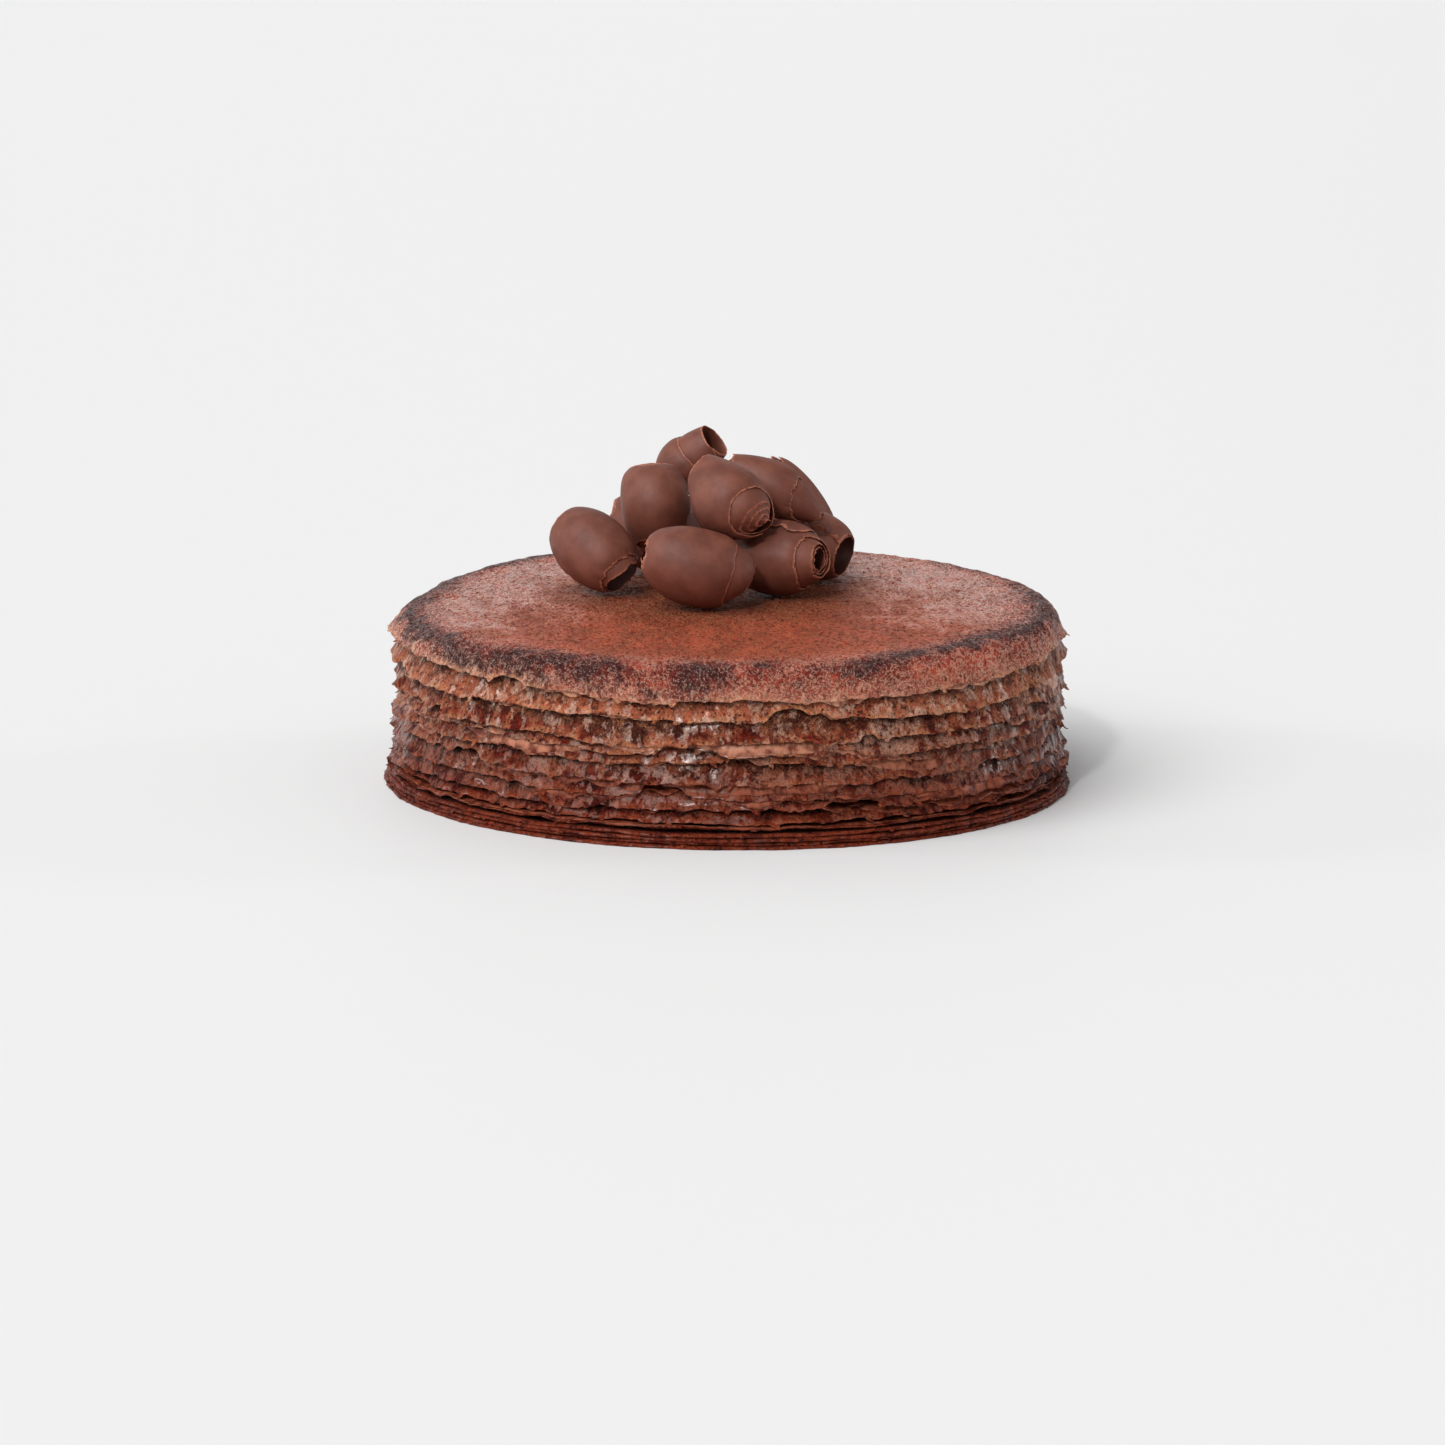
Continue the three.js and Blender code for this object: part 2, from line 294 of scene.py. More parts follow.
def layered(turn, layers, seed):
    """Noises along a loop, added up. Each has a strength, its cells, and what it adds to the seed."""
    return sum(strength * ripple(turn, 0, (cells, 1), seed + more) for strength, cells, more in layers)


def lumps(x, y, size, seed):
    """Noise from -1 to 1 on a plane, with lumps about size millimetres across."""
    lattice = np.random.default_rng(seed).uniform(-1, 1, (LATTICE, LATTICE))
    return lattice_noise(lattice, x / size, y / size)


print("a sample of ripple:", round(float(ripple(0.3, 0.5, (40, 4), 7)), 3))

# %% [markdown]
# Crepes, cream and rolled sheets are all bent grids. A mesh is therefore built from rings of points:
# quads join each ring to the next, and a flat face shuts both ends. What a finish needs to know, such
# as how far a point is from the hem, is stored on the points as attributes.

# %% Meshes from rings
def add_piece(name, corners, faces, paint, stands_for=None, marks=None):
    """A smooth piece of the cake from corners in millimetres. marks are named values at them."""
    mesh = bpy.data.meshes.new(name)
    mesh.from_pydata((corners.reshape(-1, 3) * MM).tolist(), [], faces)
    mesh.polygons.foreach_set("use_smooth", [True] * len(mesh.polygons))
    for key, values in (marks or {}).items():
        data = mesh.attributes.new(key, "FLOAT", "POINT").data
        data.foreach_set("value", values.astype(np.float32).ravel())
    mesh.materials.append(paint)
    piece = bpy.data.objects.new(name, mesh)
    bpy.context.scene.collection.objects.link(piece)
    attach(piece, "root")
    if stands_for:
        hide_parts(stands_for)


def closed_faces(rows, columns, first=0):
    """The faces of a closed body whose rings are listed one after the other, from corner first on."""
    row, column = np.meshgrid(np.arange(rows - 1), np.arange(columns), indexing="ij")
    here = first + row * columns + column
    beside = first + row * columns + (column + 1) % columns
    quads = np.stack([here, here + columns, beside + columns, beside], -1).reshape(-1, 4)
    last = first + rows * columns - 1
    return quads.tolist() + [list(range(first, first + columns)), list(range(last, last - columns, -1))]


def round_piece(name, rings, paint, stands_for, marks=None):
    """A closed body from its rings: an array of (row, side, xyz)."""
    rows, columns, _ = rings.shape
    add_piece(name, rings, closed_faces(rows, columns), paint, stands_for, marks)


print("three rings of four points make", len(closed_faces(3, 4)), "faces")

# %% [markdown]
# ## The crepes
# A crepe is flat in the middle, bends over the edge of the stack and hangs down like a cloth. It could
# be simulated as one, but ten cloths so close together cut through each other. So the drape is a
# formula with the plain model's sizes: a part of an ellipse for the shoulder, then a straight skirt
# that leans outwards.

# %% Sizes of the stack
# in millimetres; lists run from the top crepe down
TOP_HEIGHT = 59
LOWEST_DRAPED = 6.8
DROPS = [9.8, 11.2, 13.1, 11.1, 8.8, 9.1, 8.4, 6.6, 4.4, 0.8]
HEM_RADII = [109.5, 109.7, 109.8, 109.3, 109.0, 109.3, 109.4, 110.3, 110.6, 111.7]
DRAPED = len(DROPS)
PITCH = (TOP_HEIGHT - LOWEST_DRAPED) / (DRAPED - 1)
THICKNESS = 0.9
SHOULDER_RUN = 9
SHOULDER_DROP = 5.4
SKIRT_LEAN = math.radians(20)
SLUMP = 0.6
SLUMP_POWER = 5
OVAL = 2.7
OVAL_HEADING = math.radians(128)
TILT = 0.034
SIDEWAYS = 0.8
SIDE_WAVE = 0.8
SIDE_TURNS = (2, 3, 5)
SIDE_TWIST = 0.02
# a hem waves by HEM_WAVE where it hangs HEM_WAVE_DROP down
HEM_WAVE = 1.3
HEM_WAVE_DROP = 12
HEM_TURNS = (3, 7, 11)

SIDES = 840
angles = np.linspace(0, 2 * np.pi, SIDES, endpoint=False)
turns_round = np.linspace(0, 1, SIDES, endpoint=False)
oval = OVAL * np.cos(2 * (angles - OVAL_HEADING))
print("crepes lie", round(PITCH, 2), "mm apart")

# %% The line of a drape
bend_end = math.atan(SHOULDER_RUN / (SHOULDER_DROP * math.tan(SKIRT_LEAN)))
bend_depth = SHOULDER_DROP * (1 - math.cos(bend_end))


def drape(depth):
    """How far out a crepe has run at a depth below its middle, and which way it faces: out and up."""
    bend = np.arccos(np.clip(1 - depth / SHOULDER_DROP, math.cos(bend_end), 1))
    run = SHOULDER_RUN * np.sin(bend) + np.maximum(depth - bend_depth, 0) * math.tan(SKIRT_LEAN)
    out = SHOULDER_DROP * np.sin(bend)
    up = SHOULDER_RUN * np.cos(bend)
    length = np.hypot(out, up)
    return run, out / length, up / length


def share(layer):
    """1 for the top crepe and 0 for the lowest draped one, which is level and even."""
    return 1 - layer / (DRAPED - 1)


def slump(layer):
    """How far a shoulder runs out round the cake, beside an even one: more on the left."""
    return np.exp(-SLUMP * share(layer) * np.cos(angles) ** SLUMP_POWER)


def flat_radius(layer):
    """Where the flat middle has to end for the hem to come out at its own radius."""
    return HEM_RADII[layer] + oval - drape(np.float64(DROPS[layer]))[0] * slump(layer)


def bulge(layer):
    """How far a crepe lies askew: the stack leans a little sideways, and its side waves."""
    slide = SIDEWAYS * math.sin(math.pi * (layer + 1) / (DRAPED + 1))
    return slide * np.cos(angles) + SIDE_WAVE * wave(angles, 1 + SIDE_TWIST * layer, SIDE_TURNS)


def tilt(layer):
    """How much a crepe's middle rises for each millimetre towards the back."""
    return TILT * share(layer)


print("a shoulder bends until it is", round(bend_depth, 2), "mm down")

# %% [markdown]
# A real hem is torn, with teeth of several sizes. Tearing a mesh apart would leave holes, so the last
# ring of points goes up and down instead: the plain model's slow wave, with finer and finer noise on
# it, and a few wide arches where a piece has come away.

# %% Ragged hems
HEM_NOISE = [(0.6, 46, 0), (0.45, 130, 20), (0.22, 400, 50)]
# a hem that hangs less than this, in millimetres, is less ragged
FULLY_RAGGED = 6
# the crepe, the direction in degrees from +X, half the width in degrees, and the height in millimetres
TEARS = [(1, -80, 4.5, 3.2), (3, -96, 7, 2.6), (4, -88, 3, 2.2), (6, -100, 5, 2.4), (7, -70, 6, 2.2),
         (5, -140, 5, 2.2), (2, -30, 4, 2.0), (3, 20, 6, 2.5), (2, 100, 7, 2.6), (5, 165, 5, 2.4)]
RANDOM_TEARS = 4
# the least and the most that a random tear may have of each
RANDOM_TEAR = ((0, 360), (1.5, 5), (0.8, 2.2))


def arch(direction, half_width):
    """1 in the middle of a stretch of the rim, with a smooth fall to 0 at its ends."""
    away = (np.degrees(angles) - direction + 180) % 360 - 180
    return 1 - smooth(np.abs(away), 0.4 * half_width, half_width)


def hem_depth(layer):
    """How far each point of the hem hangs, in millimetres, round the cake."""
    seed = 100 + layer
    depth = DROPS[layer] * (1 + HEM_WAVE / HEM_WAVE_DROP * wave(angles, 2.3 * layer, HEM_TURNS))
    notches = 0.55 * np.abs(ripple(turns_round, 0, (270, 1), seed + 40)) - 0.2
    ragged = layered(turns_round, HEM_NOISE, seed) + notches
    draw = np.random.default_rng(seed + 60)
    tears = [[draw.uniform(*limits) for limits in RANDOM_TEAR] for _ in range(RANDOM_TEARS)]
    for direction, half_width, tall in tears + [tear[1:] for tear in TEARS if tear[0] == layer]:
        ragged -= tall * arch(direction, half_width)
    return depth + min(1, DROPS[layer] / FULLY_RAGGED) * ragged


HEM_DEPTHS = [hem_depth(layer) for layer in range(DRAPED)]
print("hem of the top crepe hangs", np.round([HEM_DEPTHS[0].min(), HEM_DEPTHS[0].max()], 1), "mm")

# %% [markdown]
# A skirt is never smooth. At the left and the right of the cake it was dragged into close pleats, it
# is puckered all over, and its hem curls away in flaps. Bump in a material can't change an outline, so
# this relief is real geometry. The cream that is smeared on a skirt follows it too.

# %% Relief of a skirt
pleating = 0.3 + np.cos(angles) ** 2


def relief(layer, way):
    """How far a skirt stands proud of its smooth form, at shares of the way down to its hem."""
    seed = 300 + 10 * layer
    pleats = 1.2 * ripple(turns_round, 0.5 * way, (80, 1), seed).clip(-0.4)
    pleats = pleats + 0.3 * ripple(turns_round, way, (170, 2), seed + 1)
    puckers = 0.2 * ripple(turns_round, way, (190, 7), seed + 2)
    puckers = puckers + 0.06 * ripple(turns_round, way, (380, 16), seed + 3)
    flaps = 1.2 * ripple(turns_round, 0, (38, 1), seed + 4).clip(0)
    flaps = flaps + 1.15 * ripple(turns_round, 0, (64, 1), seed + 5).clip(0) * pleating
    return way * pleats * pleating + way ** 0.5 * puckers + way ** 5 * flaps


print("relief of a hem:", round(float(np.ptp(relief(1, np.ones((1, 1))))), 1), "mm")

# %% [markdown]
# Now the relief is laid on the drape. The top crepe sags at its left shoulder, where the stack has
# given way, and nothing may stick out past the widest radius, or the cake has the wrong size.

# %% Points on a skirt
SAG = 2.2
SAG_WIDTH = 0.55
SAG_START = 62
# how far down the shoulder the sag ends, and where the side has its full bulge
SAG_ENDS = (1, 8)
BULGE_DEPTH = 3
WIDEST = 113.2
DEPTH_POWER = 1.5
HEM_THINNING = 0.65
# where the blisters of the top fade out, as shares of the way to its hem
BLISTERS_END = (0.3, 0.8)
INNER_SHARES = np.array([1, 0.96, 0.7, 0])
west = np.exp(-((angles - np.pi) / SAG_WIDTH) ** 2)


def around_cake(radius, height):
    """Points all round the cake."""
    return np.stack(np.broadcast_arrays(radius * np.cos(angles), radius * np.sin(angles), height), -1)


def level_ring(radius, height, lean):
    """One ring of points that follows the lean of a crepe's flat middle."""
    return around_cake(radius, height + lean * radius * np.sin(angles))[None]


def on_skirt(layer, depth, lift):
    """Points on a crepe at a depth below its middle and a height above its smooth outside."""
    run, out, up = drape(depth)
    radius = flat_radius(layer) + bulge(layer) * smooth(depth, 0, BULGE_DEPTH)
    radius = np.minimum(radius + run * slump(layer) + out * lift, WIDEST + oval)
    height = TOP_HEIGHT - PITCH * layer - depth + up * lift
    if layer == 0:
        height = height - SAG * west * (1 - smooth(depth, *SAG_ENDS))
    return around_cake(radius, height + tilt(layer) * radius * np.sin(angles))


def outer_shares(layer):
    """Where the rings of a skirt lie. The last but one is close to the hem, which keeps that crisp."""
    return np.append(np.linspace(0, 0.985, round(8 + 1.4 * DROPS[layer])), 1)


print("rings of the skirts:", [len(outer_shares(layer)) for layer in range(DRAPED)])

# %% [markdown]
# ## The finish of a crepe
# Cocoa batter bakes into a porous skin: a brown ground with warm tan patches, scorched blotches, pits
# and burst bubbles, and a hem as pale as its torn edge is thin. Light and shade are painted on it too:
# glints along a crackle of fine veins and on wet spots, pale streaks where cream has run, and shade
# under each hem and on the crepes lower down. Painting it would take days, and one noise would look
# like a cloud. So each of these is a noise of its own, at its real size, and the mesh adds what noise
# can't know: how far the hem is, how pale the crepe is, and how moist with cream.

# %% Marks that crepes share
SCATTER_RADIUS = (1.0, 0.35, 0.2)


def hem_band(from_hem, blotch):
    """The thin, pale edge of a crepe, which its blotches break up."""
    return (1 - from_hem.between(0.2, 2.2)) * blotch.between(0.42, 0.56)


def near_hem(from_hem):
    return 1 - from_hem.between(1, 7)


def running_down(bench, place):
    """Noise that is drawn out downwards, like cream that has run down a skirt."""
    return bench.noise(bench.stretched(place, (1, 1, 0.4)), 2.2, detail=4, roughness=0.65)


print("red light scatters", SCATTER_RADIUS[0] / SCATTER_RADIUS[2], "times as far in a crepe as blue")

# %% Crepe finish
def crepe_paint(name, ground, warm, scorch_and_shade_hue, glint_hue, wet_highlight, rim):
    bench = Bench(name)
    place = bench.place()
    from_hem, below, pale, moist = (
        bench.attribute(mark) for mark in ("from_hem", "below_next", "pale", "moist"))
    blotch = bench.noise(place, 6, detail=5, roughness=0.65, distortion=0.6)
    patch = bench.noise(bench.stretched(place, (1, 1, 1.6)), 15, detail=2)
    swell = bench.noise(place, 2.4, roughness=0.6)
    grain = bench.noise(place, 1.3, roughness=0.6)
    crackle = bench.veins(place, 1.7, width=0.06, detail=4)
    # the dry skin has warm patches, scorched blotches and a pale hem; the blotches grow
    # towards the top of each skirt, where they are also painted shade under the hem above
    colour = bench.mix((blotch + patch * 0.5 + pale * 0.34).between(0.7, 1.1), ground, warm)
    scorch_and_shade = (patch * 0.6 - blotch * 0.5 + from_hem * 0.05 - pale * 0.14).between(0.0, 0.3)
    colour = bench.mix(scorch_and_shade * 0.8, colour, scorch_and_shade_hue)
    colour = bench.mix(hem_band(from_hem, blotch) * 0.7, colour, rim)
    # near the hem, where cream has run down, pale streaks are painted as highlights; over them lie
    # pits, painted glints along a fine crackle, and open pores
    streaks = running_down(bench, place)
    drip_highlights = near_hem(from_hem) * (streaks + patch * 0.5 + moist * 0.03).between(0.8, 0.96)
    colour = bench.mix(drip_highlights * 0.6, colour, wet_highlight)
    pit = (swell * 0.5 + grain).between(0.74, 0.6)
    colour = bench.mix(pit * 0.8, colour, hue(52, 20, 11))
    colour = bench.mix(crackle * blotch.between(0.42, 0.6) * 0.62, colour, glint_hue)
    pore = 1 - bench.cells(place, 1.8).between(0.14, 0.24)
    open_pore = pore * (patch - pale * 0.12).between(0.46, 0.4)
    colour = bench.mix(open_pore * 0.9, colour, hue(30, 13, 10))
    # butter is smeared over parts of it and makes them glossy, with a faint painted sheen, and
    # some spots in them get painted highlights
    smear = bench.noise(bench.stretched(place, (1, 1, 0.55)), 3.4, detail=4, roughness=0.65)
    wet_mask = (smear + moist * 0.09 + patch * 0.15).between(0.62, 0.7)
    wet_glint = wet_mask * (crackle + grain * 1.2).between(0.55, 0.95)
    colour = bench.mix(wet_mask * 0.1 + wet_glint * 0.55, colour, wet_highlight)
    # painted shade: darker in the corner under the next hem, where its shadow falls
    colour = bench.mix(below.between(2.4, -0.3) * 0.75, colour, hue(44, 18, 14))
    # painted shade: the lower the crepe, the darker and redder it is
    shade = bench.part(place, "Z").between(52, 8)
    colour = bench.mix(shade, colour, hue(168, 110, 88), "MULTIPLY")
    return bench.finish({
        "Base Color": colour,
        "Roughness": 0.4 + pit * 0.3 - wet_mask * 0.1,
        "Specular IOR Level": 0.14,
        "Coat Weight": wet_mask * 0.45 + drip_highlights * 0.2,
        "Coat Roughness": 0.22,
        "Subsurface Weight": 0.15,
        "Subsurface Radius": SCATTER_RADIUS,
        "Subsurface Scale": 1.0 * MM,
        "Normal": bench.bump(swell * 1.2 + crackle * 0.2 + grain * 0.8 - open_pore * 0.5, 1.5),
    })


skirt_paint = crepe_paint(
    "crepe_skin", ground=hue(132, 38, 18), warm=hue(186, 99, 68), scorch_and_shade_hue=hue(54, 21, 12),
    glint_hue=hue(248, 168, 122), wet_highlight=hue(255, 206, 178), rim=hue(226, 156, 112))
pressed_paint = crepe_paint(
    "pressed_crepe", ground=hue(166, 101, 84), warm=hue(204, 135, 110), scorch_and_shade_hue=hue(92, 55, 47),
    glint_hue=hue(236, 168, 138), wet_highlight=hue(226, 172, 152), rim=hue(218, 140, 108))
print("finishes:", skirt_paint.name, pressed_paint.name)

# %% [markdown]
# The top crepe is redder, with a ring of scorched, almost black brown along its bend. Shade is painted
# round the foot of the heap, and butter has spread over the back and towards the sides. A glossy coat
# would turn the whole top grey at such a low angle, so most of the sheen there is painted as fine pale
# veins, and the coat stays thin.

# %% Scorched ring
# the middle of the heap of curls, in millimetres
HEAP_AT = (-4, 14)
RING_WOBBLE = 14
SIDES_DARKER = 0.000009


def scorched_ring(bench, place, x, out):
    """A ring along the bend, which wobbles and breaks up, and is darkest at both sides."""
    ring = out + bench.noise(place, 22) * RING_WOBBLE
    ring = ring + bench.noise(place, 5, detail=4, roughness=0.7) * RING_WOBBLE - RING_WOBBLE
    scorch = ring.between(93, 104) * (1 - ring.between(105, 111))
    return scorch * (bench.noise(place, 26) + x * x * SIDES_DARKER).between(0.36, 0.54)


print("the scorched ring wobbles by up to", RING_WOBBLE, "mm either way")

# %% Browned top finish
def top_paint():
    bench = Bench("browned_top")
    place = bench.place()
    x, y = (bench.part(place, axis) for axis in "XY")
    out, from_hem = (bench.attribute(mark) for mark in ("out", "from_hem"))
    # the grain is drawn out along the way the batter was spread
    spread = bench.stretched(place, (1, 0.5, 1))
    blotch = bench.noise(spread, 9, detail=5, roughness=0.65)
    dabs = bench.noise(spread, 2.8, detail=5, roughness=0.7)
    grain = bench.noise(spread, 1.4, roughness=0.6)
    crackle = bench.veins(spread, 1.7, width=0.06, detail=4)
    fine = bench.veins(spread, 1.0, width=0.08, detail=3)
    colour = bench.mix(blotch.between(0.36, 0.64), hue(134, 44, 30), hue(182, 74, 52))
    colour = bench.mix(from_hem.between(7, 2) * 0.7, colour, hue(164, 88, 70))
    scorch = scorched_ring(bench, place, x, out) * (blotch + dabs * 0.5).between(0.48, 0.74)
    colour = bench.mix(scorch * 0.92, colour, hue(46, 30, 32))
    colour = bench.mix(hem_band(from_hem, blotch) * 0.6, colour, hue(220, 154, 116))
    # pale streaks near the hem, painted as highlights where cream has run down
    drip_highlights = near_hem(from_hem) * (running_down(bench, place) + blotch * 0.3).between(0.69, 0.79)
    colour = bench.mix(drip_highlights * 0.6, colour, hue(240, 186, 158))
    pit = (dabs * 0.5 + grain).between(0.75, 0.62)
    colour = bench.mix(pit * 0.62, colour, hue(48, 18, 12))
    # painted shade round the foot of the heap, where the curls shade the top
    off_x = x - HEAP_AT[0]
    off_y = y - HEAP_AT[1]
    dust = (off_x * off_x + off_y * off_y).between(4200, 1200)
    colour = bench.mix(dust * 0.75, colour, hue(84, 34, 24))
    # butter has spread over the back and towards both sides; there the top is glossy and has a
    # painted sheen
    rim = out.between(88, 100)
    butter_and_sheen = (y * 0.009 + x * x * 0.00010 + blotch * 2.8).between(1.25, 2.15)
    butter_and_sheen = butter_and_sheen * (1 - rim * 0.75) * (1 - dust)
    # painted highlights: pale veins, most over the buttery back and sides and along the shoulder
    veins = (crackle * 1.2 + fine * 0.8 - scorch * 0.75 - rim * 0.15).between(0.4, 1.1)
    lit = veins * (butter_and_sheen * 0.6 + rim * 0.4 + 0.4)
    shine = bench.mix(butter_and_sheen + rim * 0.6, hue(244, 160, 112), hue(244, 196, 178))
    colour = bench.mix(lit * 0.9, colour, bench.mix(scorch, shine, hue(236, 196, 182)))
    return bench.finish({
        "Base Color": colour,
        "Roughness": 0.38 + pit * 0.3,
        "Specular IOR Level": 0.08,
        "Coat Weight": butter_and_sheen * dabs.between(0.42, 0.6) * 0.5,
        "Coat Roughness": 0.25,
        "Subsurface Weight": 0.25,
        "Subsurface Radius": SCATTER_RADIUS,
        "Subsurface Scale": 1.2 * MM,
        "Normal": bench.bump(dabs * 1.2 + grain * 0.4 + crackle * 0.2, 1.2),
    })


browned_paint = top_paint()
print("finish:", browned_paint.name)

# %% [markdown]
# Now the crepes themselves. A sheet with a Solidify modifier would be quick, but as thick at its rim
# as anywhere, and a torn hem is thinner than paper. So both faces and the hem are one closed grid. The
# top crepe also needs rings over its flat middle, because that is seen: it is blistered, and swells a
# little under the heap. The others are closed there by a flat face.

# %% The top's flat middle
# the height, the size and the seed of each kind of blister
BLISTERS = [(0.22, 3.1, 50), (0.14, 1.7, 51)]
UNLEVEL = 0.12
MIDDLE_RINGS = 56
MIDDLE_HOLE = 1.5
HEAP_RISE = 0.4
HEAP_FOOT = (32, 62)


def top_relief(x, y):
    """How far the top stands out of its plane: it is blistered all over, and never quite level."""
    blisters = sum(height * lumps(x, y, size, seed) for height, size, seed in BLISTERS)
    return blisters + UNLEVEL * np.sin(0.21 * x + 0.13 * y) * np.sin(0.17 * y - 0.09 * x) - UNLEVEL


def top_middle():
    """The flat middle of the top crepe. The rings lie closer together towards its rim."""
    shares = np.linspace(0, 1, MIDDLE_RINGS, endpoint=False)[:, None] ** 0.8
    radius = MIDDLE_HOLE + (flat_radius(0) - MIDDLE_HOLE) * shares
    x = radius * np.cos(angles)
    y = radius * np.sin(angles)
    height = TOP_HEIGHT + tilt(0) * y + top_relief(x, y) * smooth(radius, 0, 20)
    height = height - SAG * west * smooth(radius, SAG_START, flat_radius(0))
    from_heap = np.hypot(x - HEAP_AT[0], y - HEAP_AT[1])
    return around_cake(radius, height + HEAP_RISE * (1 - smooth(from_heap, *HEAP_FOOT)))


def skirt(layer, shares, inside=False):
    """One face of a crepe, from its flat middle to its hem, and how deep each point lies."""
    way = shares[:, None]
    depth = HEM_DEPTHS[layer] * way ** DEPTH_POWER
    lift = relief(layer, way)
    if inside:
        lift = lift - THICKNESS * (1 - HEM_THINNING * way ** 4)
    elif layer == 0:
        reach = flat_radius(0) + drape(depth)[0]
        blisters = top_relief(reach * np.cos(angles), reach * np.sin(angles))
        lift = lift + blisters * (1 - smooth(way, *BLISTERS_END))
    return on_skirt(layer, depth, lift), depth


print("the middle of the top has", MIDDLE_RINGS, "rings")

# %% Draped crepes
# how pale each crepe is, and how wet with cream and butter, from the second one down
PALE = [1.0, 0.45, 0.35, 0.4, 0.45, 0.3, 0.25, 0.2, 0.1]
MOIST = [0.2, 0.3, 0.8, 0.6, 0.8, 1.0, 1.0, 0.8, 0.7]
# a distance that means that no other hem is near
FAR = 99
# for each crepe a ring of points a little above its hem, and the hem
hems = []


def skin_marks(from_hem, pale, moist, below=FAR):
    """What a crepe's finish reads at each point."""
    even = np.ones(from_hem.shape)
    return {"from_hem": from_hem, "below_next": even * below, "pale": even * pale, "moist": even * moist}


def draped_crepe(layer):
    outside, depth = skirt(layer, outer_shares(layer))
    inside, depth_inside = skirt(layer, INNER_SHARES, inside=True)
    hems.append((outside[-6], outside[-1]))
    rings = np.concatenate([outside, inside])
    depth = np.concatenate([depth, depth_inside])
    from_hem = HEM_DEPTHS[layer] - depth
    name = f"crepe_{layer + 1:02d}"
    if layer > 0:
        below = depth + PITCH - HEM_DEPTHS[layer - 1]
        marks = skin_marks(from_hem, PALE[layer - 1], MOIST[layer - 1], below)
        round_piece(name + "_skin", rings, skirt_paint, name, marks)
    else:
        middle = top_middle()
        rings = np.concatenate([middle, rings])
        from_hem = np.concatenate([np.full(middle.shape[:2], from_hem.max()), from_hem])
        marks = {"from_hem": from_hem, "out": np.hypot(rings[..., 0], rings[..., 1])}
        round_piece(name + "_skin", rings, browned_paint, name, marks)


for layer in range(DRAPED):
    draped_crepe(layer)
print("draped crepes:", DRAPED)

# %% [markdown]
# The crepes at the bottom are pressed flat by the weight of the cake, and show only their rims. Discs
# from Blender's cylinder would have sharp, even rims, so these are grids too, with a frayed half round.

# %% Pressed crepes
# in millimetres, from the bottom up
PRESSED_RADII = [114.0, 113.3, 113.5, 112.9]
PRESSED_THICKNESS = 0.85
PRESSED_PITCH = 1.2
PRESSED_WAVE = 0.5
PRESSED_TURNS = (2, 6, 10)
RIM_INSET = 0.7
RIM_THICKNESS = 1.18
RIM_ROUNDING = 0.55
RIM_WIDTH = 14
RIM_RINGS = 7
ABOVE_FLOOR = 0.02
FRAY_NOISE = [(0.36, 70, 0), (0.3, 330, 1)]
WARP_NOISE = [(0.3, 50, 2), (0.15, 210, 3)]


def pressed_crepe(number, radius):
    """A disc whose rim is a little thicker than the rest, so that it all but meets the next one."""
    seed = 700 + 10 * number
    around = np.linspace(-1, 1, RIM_RINGS)[:, None]
    uneven = PRESSED_WAVE * wave(angles, number, PRESSED_TURNS) + layered(turns_round, FRAY_NOISE, seed)
    rounding_off = RIM_ROUNDING * (1 - np.cos(around * np.pi / 2))
    middle = number * PRESSED_PITCH + PRESSED_THICKNESS / 2
    height = middle - RIM_THICKNESS / 2 * around + 0 * angles
    if number > 0:
        height = height + layered(turns_round, WARP_NOISE, seed)
    rim = around_cake(radius - RIM_INSET + oval + uneven - rounding_off, np.maximum(height, ABOVE_FLOOR))
    hems.append((rim[1], rim[2]))
    first, last = (level_ring(radius - RIM_WIDTH + oval, middle + side * PRESSED_THICKNESS / 2, 0)
                   for side in (1, -1))
    from_hem = np.concatenate([[[RIM_WIDTH]], rounding_off, [[RIM_WIDTH]]]) + 0 * angles
    name = f"crepe_{DRAPED + len(PRESSED_RADII) - number:02d}"
    marks = skin_marks(from_hem, pale=0.3, moist=0.2)
    rings = np.concatenate([first, rim, last])
    round_piece(name + "_skin", rings, pressed_paint, name, marks)


for number, radius in enumerate(PRESSED_RADII):
    pressed_crepe(number, radius)
print("pressed crepes:", len(PRESSED_RADII))

# %% [markdown]
# Here and there a scrap of a hem is torn almost loose. Particles could scatter such scraps, but would
# point them anywhere. Each one is a small tapered flake that starts inside its crepe, at a random
# point of a hem, and bends outwards. All are joined into one mesh.

# %% Flakes
# the least and the most length and width in millimetres, slant, and bend in radians
FLAKE_SIZES = ((0.7, 2.2), (1.0, 3.6), (-0.7, 0.7), (0.1, 0.8))
FLAKE_NOTCHES = (0.6, 1.0)
FLAKE_HALF = 0.12
FLAKE_POINTS = 5
FLAKE_TIP = 0.08
ROOT_SHARE = 0.4
SUNK = 0.2
LOWEST_FLAKE = 0.05


def hem_directions(column, above, hem):
    """The directions at a point of a hem: down the skirt, outwards, and along the hem."""
    down = hem[column] - above[column]
    down /= np.linalg.norm(down)
    side = np.array([-math.sin(angles[column]), math.cos(angles[column]), 0])
    outward = np.cross(side, down)
    return down, outward * math.copysign(1, outward @ hem[column]), side


